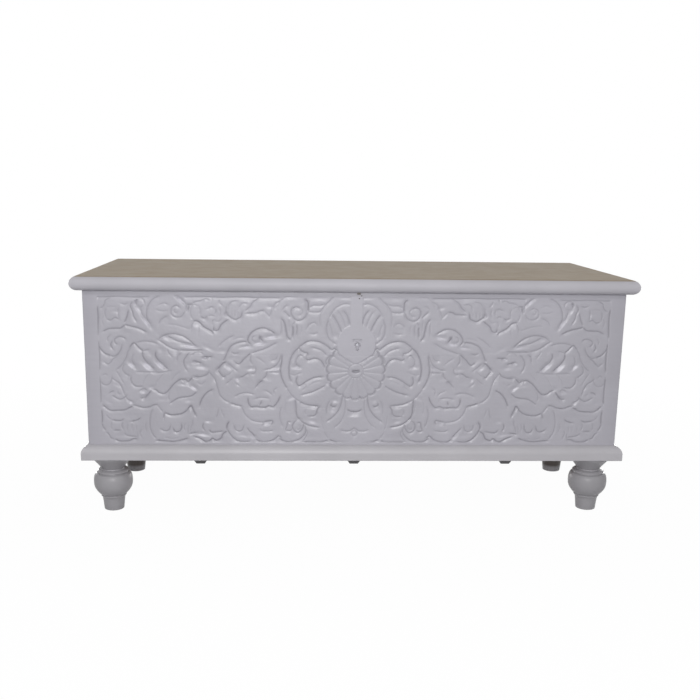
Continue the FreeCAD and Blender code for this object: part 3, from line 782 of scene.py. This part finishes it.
def iron_shade(name, iron):
    """Dark, aged iron with dull and rubbed patches."""
    s = Shade(name)
    cloud = s.noise(70, 5, 0.65)
    speck = s.noise(420, 3, 0.6)
    base = s.mix(s.ramp(cloud, 0.35, 0.7), tint(iron, 0.7), tint(iron, 1.25))
    base = s.mix(s.ramp(speck, 0.58, 0.75, 0.0, 0.6), base, srgb(96, 66, 48))
    rough = s.ramp(cloud, 0.3, 0.7, 0.38, 0.6)
    return s.finish(base_color=base, roughness=rough, normal=s.bump(speck, 0.2, 0.0002), metallic=0.9)


made = {}


def materials():
    """The finishes of the trunk by name, made once."""
    if not made:
        c = bpy.context.scene.trunk_colours
        front, side, wood, grain = (tuple(v) for v in (c.front_paint, c.side_paint, c.bare_wood, c.wood_grain))
        along_x, along_y, turned = (0.06, 1, 1), (1, 0.06, 1), (1, 1, 3)
        # Painted shade for the rear feet: the height above which it starts, and its colour.
        dull = (SOLE_LINE, tuple(c.rear_foot_painted_shade))
        made.update({
            # The front's paint carries painted shade in the cuts and painted highlights on the glints.
            "front": paint_shade("front satin paint", front, along_x, recess=tuple(c.recess)),
            # The lid's edge paint is partly a painted highlight, and its top colour is painted shade.
            "lid": paint_shade("lid satin paint", tuple(c.lid_nose), along_x, top=tuple(c.lid_top_painted_shade), gloss=0.12),
            "long": paint_shade("long board paint", side, along_x),
            "cross": paint_shade("cross board paint", side, along_y),
            # Painted shade: the front feet take a darker copy of the side paint.
            "turned": paint_shade("turned foot paint", tint(side, 0.88), turned, gloss=0.3),
            # Painted shade on the rear feet above their soles.
            "rear turned": paint_shade("rear foot paint", side, turned, gloss=0.3, above=dull),
            # Painted light: the mouldings take a lighter copy of the side paint, as they catch more light.
            "moulded": paint_shade("moulding paint", tint(side, 1.22), along_x, gloss=0.3),
            "moulded cross": paint_shade("side moulding paint", tint(side, 1.22), along_y, gloss=0.3),
            # Painted shade: the battens under the base take a much darker copy of the side paint.
            "under": paint_shade("batten paint", tint(side, 0.16), along_y),
            "wood long": wood_shade("bare wood lengthwise", wood, grain, (0.05, 1, 1)),
            "wood cross": wood_shade("bare wood crosswise", wood, grain, (1, 0.05, 1)),
            "iron": iron_shade("aged iron", tuple(c.iron)),
            "worn iron": iron_shade("rubbed iron", srgb(160, 160, 166)),
        })
    return made


# Shared ways of making pieces

def each(stem, endings):
    """The names of like nodes."""
    return [stem + "_" + ending for ending in endings.split()]


def deselect():
    bpy.ops.object.select_all(action="DESELECT")


def only(piece):
    """Selects one piece and nothing else."""
    deselect()
    piece.select_set(True)
    bpy.context.view_layer.objects.active = piece


def new_piece(name, mesh):
    piece = bpy.data.objects.new(name, mesh)
    bpy.context.scene.collection.objects.link(piece)
    return piece


def dress(piece, body, finish, node=None):
    """Gives a piece its finish, its body and the node that it stands for."""
    piece.data.materials.clear()
    piece.data.materials.append(materials()[finish])
    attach(piece, body)
    if node:
        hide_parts(node)


def apply_all(piece):
    only(piece)
    for modifier in list(piece.modifiers):
        bpy.ops.object.modifier_apply(modifier=modifier.name)


def merge_close():
    bpy.ops.mesh.remove_doubles(threshold=0.00001)


def join_flat_faces():
    bpy.ops.mesh.dissolve_limited(angle_limit=math.radians(0.5))


def face_outwards(piece, *steps):
    """Takes some steps on a whole closed piece in edit mode, and then turns its faces outwards."""
    only(piece)
    bpy.ops.object.mode_set(mode="EDIT")
    for step in (*steps, bpy.ops.mesh.normals_make_consistent):
        bpy.ops.mesh.select_all(action="SELECT")
        step()
    bpy.ops.object.mode_set(mode="OBJECT")


def soften(piece, width):
    """Rounds the sharp edges of a piece and keeps its broad faces flat to the eye."""
    bevel = piece.modifiers.new("edge round", "BEVEL")
    bevel.width, bevel.segments, bevel.limit_method = width, 5 if width > WIDE_ROUND else 2, "ANGLE"
    bevel.angle_limit, bevel.use_clamp_overlap = math.radians(35), True
    apply_all(piece)
    bpy.ops.object.shade_smooth_by_angle(angle=math.radians(50))
    weight = piece.modifiers.new("flat faces", "WEIGHTED_NORMAL")
    weight.keep_sharp, weight.weight = True, 80
    apply_all(piece)


def boards(nodes, width, finish):
    """A finished piece in the shape of each of some nodes, with its edges rounded."""
    for node in nodes:
        piece = new_piece(node + "_finished", frame["nodes"][node].data.copy())
        face_outwards(piece, bpy.ops.mesh.customdata_custom_splitnormals_clear, merge_close, join_flat_faces)
        soften(piece, width)
        dress(piece, frame["nodes"][node]["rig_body"], finish, node)


def cut(piece, cutters):
    """Cuts closed shapes out of a piece."""
    for number, cutter in enumerate(cutters):
        taken = piece.modifiers.new("cut %d" % number, "BOOLEAN")
        taken.operation, taken.object, taken.solver = "DIFFERENCE", cutter, "EXACT"
    apply_all(piece)
    deselect()
    for cutter in cutters:
        cutter.select_set(True)
    bpy.ops.object.delete()


def bar(low, high):
    """A plain box between two corners, for cutting."""
    middle = [(a + b) / 2 for a, b in zip(low, high)]
    bpy.ops.mesh.primitive_cube_add(size=1, location=middle, scale=[b - a for a, b in zip(low, high)])
    bpy.ops.object.transform_apply()
    return bpy.context.object


# Carved front

def plank_lines(low, high, sizes):
    """The heights of a carved plank's rows, close together in the field and sparse on the border."""
    inner_low, inner_high = max(low, sizes.field_low), min(high, sizes.field_high)
    rows = max(2, round((inner_high - inner_low) / sizes.carving_cell) + 1)
    lines = list(np.linspace(inner_low, inner_high, rows))
    if low < sizes.field_low:
        lines = [low, low + JOINT_EASE, inner_low - FIELD_STEP] + lines
    if high > sizes.field_high:
        lines += [inner_high + rise for rise in BORDER_ROWS] + [high - JOINT_EASE, high]
    return np.array(lines)


def carved_plank(name, node, relief, sizes, cutters):
    """One plank of the front: its carved face, its plain border, its edges and its flat back."""
    low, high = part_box(node)
    xs, zs = relief.columns, plank_lines(low[2], high[2], sizes)
    height = relief.sample(relief.h, xs, zs, 1.0)
    joint = np.minimum(zs - low[2], high[2] - zs)[:, None]
    side = np.minimum(xs - low[0], high[0] - xs)[None, :]
    ease = np.maximum(np.clip(1 - joint / JOINT_EASE, 0, 1) * JOINT_DROP,
                      np.clip(1 - side / SIDE_EASE, 0, 1) ** 2 * SIDE_DROP)
    gx, gz = np.meshgrid(xs, zs)
    front = np.stack([gx, low[1] + sizes.relief_depth * (1 - height) + ease, gz], -1).reshape(-1, 3)
    index = np.arange(gx.size).reshape(gx.shape)
    quads = np.stack([index[:-1, :-1], index[:-1, 1:], index[1:, 1:], index[1:, :-1]], -1).reshape(-1, 4)
    rim = np.concatenate([index[0], index[1:, -1], index[-1, -2::-1], index[-2:0:-1, 0]])
    behind = front[rim].copy()
    behind[:, 1] = high[1]
    back = len(front) + np.arange(len(rim))
    walls = np.stack([rim, back, np.roll(back, -1), np.roll(rim, -1)], -1)
    mesh = bpy.data.meshes.new(name)
    faces = quads.tolist() + walls.tolist() + [back[::-1].tolist()]
    mesh.from_pydata(np.vstack([front, behind]).tolist(), [], faces)
    mesh.update()
    # Each point of the carved face carries its painted shade (above 0) or painted highlight (below 0) to the paint.
    shading = np.zeros(len(mesh.vertices), np.float32)
    shading[:len(front)] = relief.sample(relief.dark, xs, zs, 0.0).reshape(-1)
    mesh.attributes.new("painted_shade_and_highlight", "FLOAT", "POINT").data.foreach_set("value", shading)
    piece = new_piece(name, mesh)
    face_outwards(piece)
    cut(piece, cutters)
    only(piece)
    bpy.ops.object.shade_smooth_by_angle(angle=math.radians(70))
    dress(piece, "carcass", "front", node)


def lock_openings(y0, y1):
    """Cutters for the slot of the hasp and for the keyhole."""
    post_low, post_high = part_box("lock_key_post")
    x, z = (post_low[0] + post_high[0]) / 2, (post_low[2] + post_high[2]) / 2
    slot_z, half_slot, half_height, slot_share = z + 0.0102, 0.009, 0.00225, 0.45
    slot = bar((x - half_slot, y0, slot_z - half_height),
               (x + half_slot, y0 + slot_share * (y1 - y0), slot_z + half_height))
    half_slit, slit_length, hole_radius = 0.0025, 0.0105, 0.006
    slit = bar((x - half_slit, y0, z - slit_length), (x + half_slit, y1, z))
    bpy.ops.mesh.primitive_cylinder_add(vertices=40, radius=hole_radius, depth=y1 - y0,
                                        location=(x, (y0 + y1) / 2, z), rotation=(math.pi / 2, 0, 0))
    bpy.ops.object.transform_apply()
    return [slot, slit, bpy.context.object]


class Step:
    """What every operator of the trunk shares."""
    bl_options = {"REGISTER", "UNDO"}


class TRUNK_OT_carved_front(Step, bpy.types.Operator):
    """Carve the three planks of the front, with the slot and the keyhole of the lock"""
    bl_idname = "trunk.carved_front"
    bl_label = "Carved Front"

    def execute(self, context):
        sizes = context.scene.trunk_sizes
        relief = CarvedField(sizes)
        inner_x, rebate_y = edge("bottom_board_front", 1, 0), edge("end_plank_left_lower", 0, 1)
        for node in each("front_plank", "lower middle upper"):
            low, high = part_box(node)
            cutters = [bar((x0, rebate_y, low[2] - PAST), (x1, high[1] + PAST, high[2] + PAST))
                       for x0, x1 in ((low[0] - PAST, -inner_x), (inner_x, high[0] + PAST))]
            if node == "front_plank_upper":
                cutters += lock_openings(low[1] - 0.0001, low[1] + sizes.opening_depth)
            carved_plank(node + "_carved", node, relief, sizes, cutters)
        return {"FINISHED"}


# Lid, ends, back and base

class TRUNK_OT_lid(Step, bpy.types.Operator):
    """Finish the three planks of the lid and the two battens below it"""
    bl_idname = "trunk.lid"
    bl_label = "Lid"

    def execute(self, context):
        boards(each("lid_plank", "front middle back"), LID_ROUND, "lid")
        plain = context.scene.trunk_sizes.edge_round
        boards(each("lid_batten", "left right"), plain, "wood cross")
        return {"FINISHED"}


class TRUNK_OT_box(Step, bpy.types.Operator):
    """Finish the ends, the back, the mouldings and the boards of the box"""
    bl_idname = "trunk.box"
    bl_label = "Box"

    def execute(self, context):
        plain = context.scene.trunk_sizes.edge_round
        slight, broad = plain / 3, plain * 4
        ends = each("end_plank", "left_lower left_upper right_lower right_upper")
        boards(ends, slight, "cross")
        boards(each("back_plank", "lower upper"), slight, "long")
        # The mouldings get the lighter copy of the side paint, painted light.
        boards(["base_moulding_front"], broad, "moulded")
        boards(each("base_moulding", "left right"), broad, "moulded cross")
        boards(each("bottom_board", "front middle back"), slight, "wood long")
        boards(each("foot_blocks", "front rear"), plain, "wood cross")
        # The battens get the darker copy of the paint, painted shade.
        boards(each("base_batten", "left middle right"), plain, "under")
        return {"FINISHED"}


# Turned feet

def turned_pair(name, node, finish):
    """Both feet of a pair, spun round their own middles."""
    low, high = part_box(node)
    radius, y = (high[1] - low[1]) / 2, (high[1] + low[1]) / 2
    points = [(r / 1000, 0.0, z / 1000) for r, z in numbers(FOOT_OUTLINE)]
    feet = []
    for x in (low[0] + radius, high[0] - radius):
        mesh = bpy.data.meshes.new(name)
        mesh.from_pydata(points, [(i, i + 1) for i in range(len(points) - 1)], [])
        foot = new_piece(name, mesh)
        lathe = foot.modifiers.new("lathe", "SCREW")
        lathe.steps = lathe.render_steps = 72
        lathe.use_merge_vertices, lathe.merge_threshold = True, 0.00001
        lathe.use_normal_calculate = True
        apply_all(foot)
        foot.data.transform(Matrix.Translation((x, y, 0)))
        feet.append(foot)
    only(feet[0])
    feet[1].select_set(True)
    bpy.ops.object.join()
    pair = bpy.context.object
    pair.name = name
    face_outwards(pair, merge_close)
    bpy.ops.object.shade_smooth_by_angle(angle=math.radians(38))
    dress(pair, "carcass", finish, node)


class TRUNK_OT_feet(Step, bpy.types.Operator):
    """Turn the four feet"""
    bl_idname = "trunk.feet"
    bl_label = "Turned Feet"

    def execute(self, context):
        # Both pairs carry painted shade: the front ones a darker copy of the paint, the rear ones dark above their
        # soles.
        turned_pair("feet_front_turned", "feet_front", "turned")
        turned_pair("feet_rear_turned", "feet_rear", "rear turned")
        return {"FINISHED"}


# Lock and hinges

def screw(name, place, facing, radius, finish):
    """A slotted, slightly domed screw head that looks along a direction."""
    half_slot = radius * 0.14
    bpy.ops.mesh.primitive_cylinder_add(vertices=24, radius=radius, depth=radius * 0.5, location=(0, 0, 0))
    head = bpy.context.object
    head.name = name
    cut(head, [bar((-radius * 1.2, -half_slot, radius * 0.05), (radius * 1.2, half_slot, radius))])
    soften(head, half_slot)
    turn = Vector((0, 0, 1)).rotation_difference(Vector(facing)).to_matrix().to_4x4()
    head.data.transform(Matrix.Translation(place) @ turn @ Matrix.Rotation(0.6, 4, "Z"))
    dress(head, "carcass", finish)


class TRUNK_OT_ironwork(Step, bpy.types.Operator):
    """Finish the lock, the hinges and the lug, and set their screws"""
    bl_idname = "trunk.ironwork"
    bl_label = "Ironwork"

    def execute(self, context):
        sizes = context.scene.trunk_sizes
        hinges = each("hinge_pin", "left right") + ["back_leaves", "lid_leaves"]
        lock = each("lock", "plate case bolt guides spring")
        boards(hinges + lock + ["hasp_lug"], sizes.metal_round, "iron")
        boards(["lock_key_post"], sizes.metal_round, "worn iron")
        front = edge("front_plank_upper", 0, 1)
        for number, (x, z) in enumerate(NAILS):
            screw("front_nail_%d" % number, (x, front, z), (0, -1, 0), NAIL_RADIUS, "iron")
        radius = sizes.screw_radius
        low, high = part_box("lock_plate")
        case_low, case_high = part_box("lock_case")
        for number, x in enumerate(((low[0] + case_low[0]) / 2, (high[0] + case_high[0]) / 2)):
            for level, z in enumerate((low[2] + SCREW_INSET, high[2] - SCREW_INSET)):
                screw("lock_screw_%d_%d" % (number, level), (x, high[1] + radius * 0.2, z), (0, 1, 0), radius,
                      "worn iron")
        return {"FINISHED"}


# Stage

def lamp(name, place, target, size, power):
    """A soft square lamp that looks at a point."""
    bpy.ops.object.light_add(type="AREA", location=place)
    light = bpy.context.object
    light.name = name
    light.data.size, light.data.energy = size, power
    light.rotation_euler = (Vector(target) - Vector(place)).to_track_quat("-Z", "Y").to_euler()


def pale_floor():
    """The floor, which is white where it is seen."""
    deselect()
    bpy.ops.mesh.primitive_plane_add(size=24, location=(0, 0, 0))
    floor = bpy.context.object
    floor.name = "floor"
    material = bpy.data.materials.new("pale floor")
    tree = NodeTree(material)
    seen = tree.seen()
    surface = tree.nodes["Principled BSDF"]
    tree.put(surface.inputs["Roughness"], 0.9)
    tree.put(surface.inputs["Base Color"], tree.mix(seen, (0.42, 0.42, 0.43), (0.92, 0.92, 0.92)))
    away = tree.add("ShaderNodeVectorMath", {0: tree.place()}, operation="LENGTH").outputs["Value"]
    inputs = {"Value": away, "From Min": 0.55, "From Max": 1.5, "To Min": 0.975, "To Max": 1.0}
    glow_share = tree.maths("MULTIPLY", seen, tree.add("ShaderNodeMapRange", inputs).outputs["Result"])
    tree.end("Material Output", glow_share, surface, tree.add("ShaderNodeEmission"))
    floor.data.materials.append(material)


def pale_room():
    """The world: white where it is seen, and dim as a light."""
    world = bpy.data.worlds.new("pale room")
    bpy.context.scene.world = world
    tree = NodeTree(world)
    lit = tree.nodes["Background"]
    tree.put(lit.inputs["Color"], (1, 1, 1))
    tree.put(lit.inputs["Strength"], 0.24)
    tree.end("World Output", tree.seen(), lit, tree.add("ShaderNodeBackground", {"Color": (1, 1, 1)}))


class TRUNK_OT_stage(Step, bpy.types.Operator):
    """Set the pale floor, the soft light and the camera"""
    bl_idname = "trunk.stage"
    bl_label = "Stage"

    def execute(self, context):
        pale_floor()
        pale_room()
        lamp("key lamp", (-0.12, -2.6, 0.95), (0, 0, 0.3), 0.6, 32)
        lamp("glint lamp", (-0.35, -1.9, 1.55), (0, 0, 0.3), 0.3, 7)
        lamp("top lamp", (0, 0.6, 3.0), (0, 0, 0.4), 2.0, 8)
        for side in (-1, 1):
            lamp("rear lamp %+d" % side, (side * 2.0, 2.6, 0.25), (0, 0, 0.25), 0.4, 20)
        camera = bpy.data.cameras.new("camera")
        camera.sensor_width, camera.lens = 36.0, 46.138
        camera.shift_x, camera.shift_y = 0.0280, 0.0440
        camera.clip_end = 100
        eye = new_piece("camera", camera)
        eye.matrix_world = Matrix.Translation((-0.11853, -1.93069, 0.6524))
        for axis, turn in (("Z", -2.247), ("X", 90 - 12.142), ("Z", 0.72)):
            eye.matrix_world = eye.matrix_world @ Matrix.Rotation(math.radians(turn), 4, axis)
        context.scene.camera = eye
        context.scene.view_settings.view_transform = "Standard"
        return {"FINISHED"}


class TRUNK_PT_panel(bpy.types.Panel):
    """The trunk's sizes, colours and steps in the sidebar of the 3D view"""
    bl_idname = "TRUNK_PT_panel"
    bl_label = "Carved Trunk"
    bl_space_type = "VIEW_3D"
    bl_region_type = "UI"
    bl_category = "Trunk"

    def draw(self, context):
        layout = self.layout
        for group, title in ((context.scene.trunk_sizes, "Sizes"), (context.scene.trunk_colours, "Colours")):
            box = layout.box()
            box.label(text=title)
            for name in group.__annotations__:
                box.prop(group, name)
        for step in STEPS:
            layout.operator(step.bl_idname)


STEPS = (TRUNK_OT_carved_front, TRUNK_OT_lid, TRUNK_OT_box, TRUNK_OT_feet, TRUNK_OT_ironwork, TRUNK_OT_stage)
CLASSES = (TrunkSizes, TrunkColours) + STEPS + (TRUNK_PT_panel,)


def register():
    for item in CLASSES:
        bpy.utils.register_class(item)
    bpy.types.Scene.trunk_sizes = bpy.props.PointerProperty(type=TrunkSizes)
    bpy.types.Scene.trunk_colours = bpy.props.PointerProperty(type=TrunkColours)


def unregister():
    del bpy.types.Scene.trunk_colours
    del bpy.types.Scene.trunk_sizes
    for item in reversed(CLASSES):
        bpy.utils.unregister_class(item)


def main():
    register()
    deselect()
    for step in STEPS:
        group, name = step.bl_idname.split(".")
        getattr(getattr(bpy.ops, group), name)()
    deselect()


if __name__ == "__main__":
    main()
